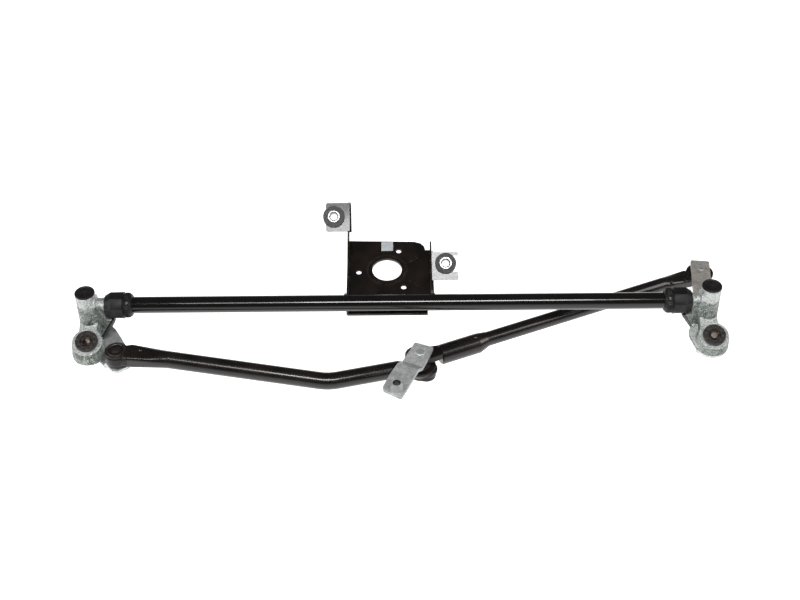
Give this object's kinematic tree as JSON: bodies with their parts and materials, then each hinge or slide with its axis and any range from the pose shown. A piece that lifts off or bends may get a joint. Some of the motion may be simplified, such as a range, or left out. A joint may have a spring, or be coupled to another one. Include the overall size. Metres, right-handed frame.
{
  "type": "windshield wiper linkage",
  "caption": "Wiper linkage: main tube with pivot housings, motor bracket, levers, ball-jointed link rods and a crank arm.",
  "frame": {"origin": "centre of the motor boss hole in the bracket plate, half a millimetre below the top face of the plate", "axes": "+X along the main tube towards the right pivot, +Z parallel to the wiper shafts towards their capped ends, +Y towards the motor bracket"},
  "size_m": [0.7957, 0.2694, 0.1393],
  "materials": {
    "black_enamel": "gloss black enamel over steel",
    "weld_enamel": "gloss black enamel over weld beads",
    "zinc_casting": "raw grey die-cast zinc, grainy",
    "zinc_plated_steel": "pale zinc plate, mottled satin",
    "bright_steel": "bright steel",
    "sintered_bronze": "sintered bronze",
    "black_plastic": "moulded black plastic",
    "socket_plastic": "moulded black acetal",
    "black_rubber": "moulded black rubber",
    "label_film": "blank pale film"
  },
  "bodies": {
    "frame": {"bracket_label": "label_film", "bracket_weld_beads": "weld_enamel", "left_barrel_cap": "black_plastic", "left_bracket_grommet": "black_rubber", "left_bracket_sleeve": "bright_steel", "left_ear_grommet": "black_rubber", "left_ear_sleeve": "bright_steel", "left_pivot_housing": "zinc_casting", "left_shaft_bushes": "sintered_bronze", "left_shaft_seal": "black_rubber", "left_tube_collar": "black_plastic", "main_tube": "black_enamel", "motor_bracket": "black_enamel", "right_barrel_cap": "black_plastic", "right_bracket_grommet": "black_rubber", "right_bracket_sleeve": "bright_steel", "right_ear_grommet": "black_rubber", "right_ear_sleeve": "bright_steel", "right_pivot_housing": "zinc_casting", "right_shaft_bushes": "sintered_bronze", "right_shaft_seal": "black_rubber", "right_tube_collar": "black_plastic", "tube_lock_pins": "bright_steel"},
    "left_wiper": {"left_pivot_shaft": "zinc_plated_steel", "left_thrust_washer": "bright_steel", "left_retaining_ring": "bright_steel", "left_lever": "zinc_plated_steel", "left_ball_stud": "zinc_plated_steel"},
    "right_wiper": {"right_pivot_shaft": "zinc_plated_steel", "right_thrust_washer": "bright_steel", "right_retaining_ring": "bright_steel", "right_lever": "zinc_plated_steel", "right_ball_stud": "zinc_plated_steel"},
    "left_rod": {"left_rod_tube": "black_enamel", "left_rod_lever_socket": "socket_plastic", "left_rod_crank_socket": "socket_plastic", "left_rod_lever_boot": "black_rubber", "left_rod_crank_boot": "black_rubber"},
    "right_rod": {"right_rod_tube": "black_enamel", "right_rod_sleeve": "black_enamel", "right_rod_lever_socket": "socket_plastic", "right_rod_crank_eye": "socket_plastic"},
    "crank": {"crank_arm": "zinc_plated_steel", "crank_ball_stud": "zinc_plated_steel"}
  },
  "joints": [
    {"name": "left_wiper_pivot", "type": "hinge", "parent": "frame", "child": "left_wiper", "pos_m": [-0.3597, -0.06324, -0.01771], "axis": [0, 0, 1], "range_deg": [-42, 24]},
    {"name": "left_rod_ball", "type": "hinge", "parent": "left_wiper", "child": "left_rod", "pos_m": [-0.3198, -0.11814, -0.02821], "axis": [0, 0, 1], "range_deg": [-29.1, 50.55]},
    {"name": "crank_swivel", "type": "hinge", "parent": "left_rod", "child": "crank", "pos_m": [0.0394, -0.11664, -0.05571], "axis": [0, 0, 1], "continuous": true},
    {"name": "right_wiper_pivot", "type": "hinge", "parent": "frame", "child": "right_wiper", "pos_m": [0.3869, -0.06324, -0.01771], "axis": [0, 0, 1], "range_deg": [-10.78, 18.49]},
    {"name": "right_rod_ball", "type": "hinge", "parent": "right_wiper", "child": "right_rod", "pos_m": [0.3985, 0.03496, -0.04301], "axis": [0, 0, 1], "range_deg": [-22.98, 13.34]}
  ],
  "couplings": [
    {"joint": "left_rod_ball", "follows": "left_wiper_pivot", "ratio": -1.1917},
    {"joint": "right_wiper_pivot", "follows": "left_wiper_pivot", "ratio": -0.4283},
    {"joint": "right_rod_ball", "follows": "left_wiper_pivot", "ratio": 0.5352}
  ]
}
